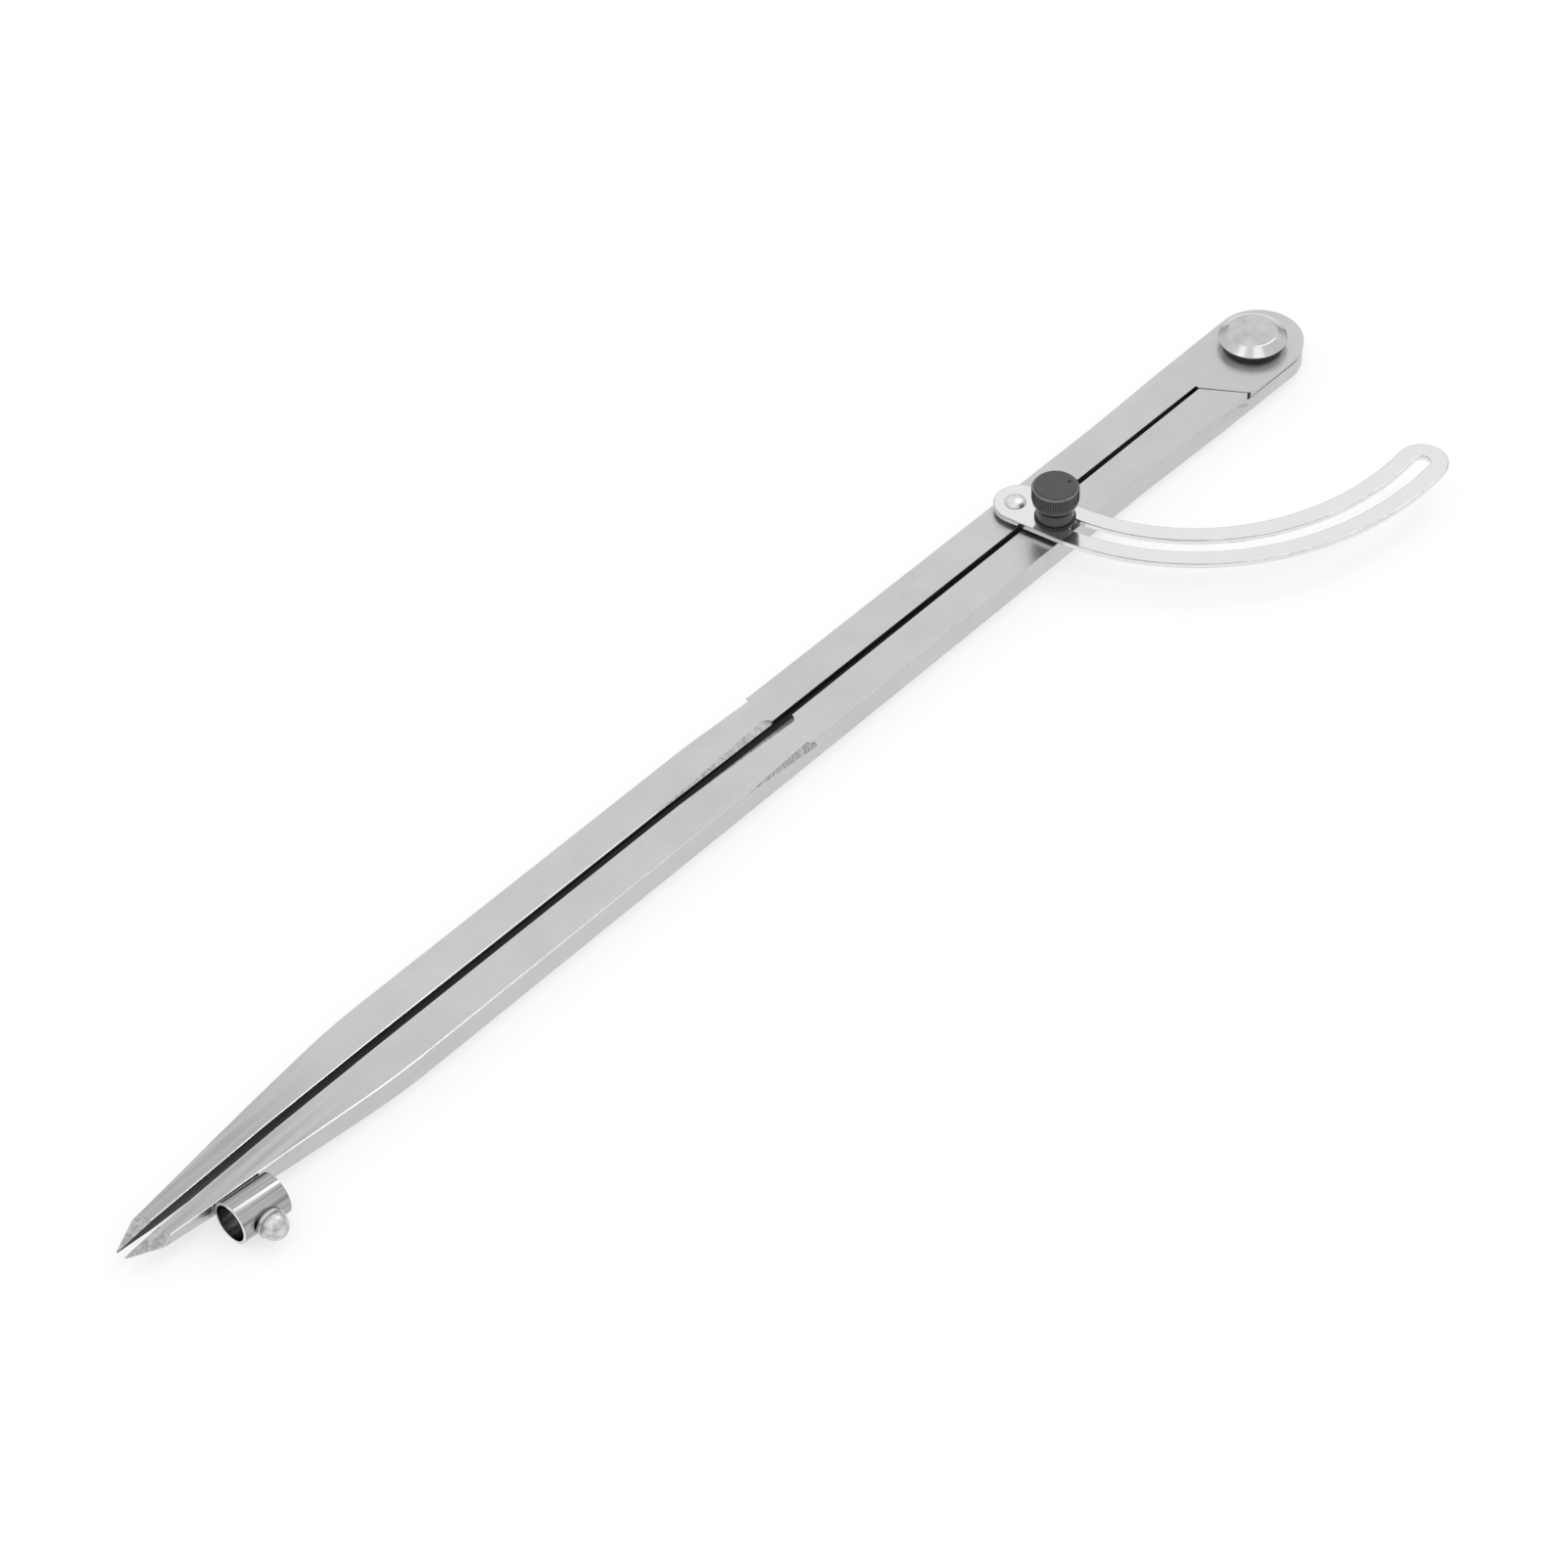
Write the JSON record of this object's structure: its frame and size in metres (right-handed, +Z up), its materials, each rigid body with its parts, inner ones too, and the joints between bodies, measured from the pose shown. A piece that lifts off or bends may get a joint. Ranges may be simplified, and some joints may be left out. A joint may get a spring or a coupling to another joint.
{
  "type": "wing compass with pencil holder",
  "caption": "Flat steel wing compass: two long tapered legs on a riveted lap joint, a curved slotted wing clamped by a knurled knob, and a pencil tube near one point.",
  "frame": {"origin": "on the head pivot's axis, at the head rivet's underside, in the plane that the compass lies on", "axes": "+X from the points to the head along the closed legs, +Y to the side of the left leg, +Z up, out of the face that carries the wing and the knob"},
  "size_m": [0.3465, 0.0665, 0.0182],
  "materials": {
    "leg_steel": "fine brushed along the leg",
    "rivet_steel": "turned, satin",
    "wing_chrome": "smooth nickel plate",
    "holder_chrome": "bright plate",
    "knob_black": "satin black, finely knurled",
    "black_washer": "blackened",
    "braze": "filed braze, plated over"
  },
  "bodies": {
    "right_leg": {"right_leg": "leg_steel", "head_rivet": "rivet_steel", "head_washer": "black_washer", "head_washer_lower": "black_washer", "clamp_spacer": "rivet_steel", "pencil_holder": "holder_chrome", "holder_braze": "braze"},
    "left_leg": {"left_leg": "leg_steel", "wing_rivet": "rivet_steel", "wing_spacer": "rivet_steel"},
    "wing": {"wing": "wing_chrome"},
    "clamp_washer": {"clamp_washer": "black_washer"},
    "clamp_knob": {"clamp_knob": "knob_black", "clamp_stud": "rivet_steel"},
    "pencil_screw_collar": {"pencil_screw_collar": "rivet_steel"},
    "pencil_screw": {"pencil_screw": "holder_chrome"}
  },
  "joints": [
    {"name": "head_pivot", "type": "hinge", "parent": "right_leg", "child": "left_leg", "pos_m": [0, 0, 0.0045], "axis": [0, 0, -1], "range_deg": [-0.28, 65]},
    {"name": "wing_pivot", "type": "hinge", "parent": "left_leg", "child": "wing", "pos_m": [-0.0723, 0.00456, 0.0087], "axis": [0, 0, -1], "range_deg": [-0.07, 15.1]},
    {"name": "clamp_travel", "type": "slide", "parent": "right_leg", "child": "clamp_washer", "axis": [0, 0, 1], "range_m": [0, 0.001]},
    {"name": "clamp_turn", "type": "hinge", "parent": "clamp_washer", "child": "clamp_knob", "pos_m": [-0.0705, -0.00455, 0.015], "axis": [0, 0, 1], "range_deg": [-0.5, 720.5]},
    {"name": "pencil_screw_travel", "type": "slide", "parent": "right_leg", "child": "pencil_screw_collar", "axis": [-0.0958, -0.9954, 0], "range_m": [-0.00025, 0.0015]},
    {"name": "pencil_screw_turn", "type": "hinge", "parent": "pencil_screw_collar", "child": "pencil_screw", "pos_m": [-0.31122, -0.01644, 0.0045], "axis": [-0.0958, -0.9954, 0], "range_deg": [-180.5, 1080.5]}
  ],
  "couplings": [
    {"joint": "wing_pivot", "follows": "head_pivot", "ratio": 0.232},
    {"joint": "clamp_turn", "follows": "clamp_travel", "rad_per_m": 12566},
    {"joint": "pencil_screw_turn", "follows": "pencil_screw_travel", "rad_per_m": 12566}
  ]
}
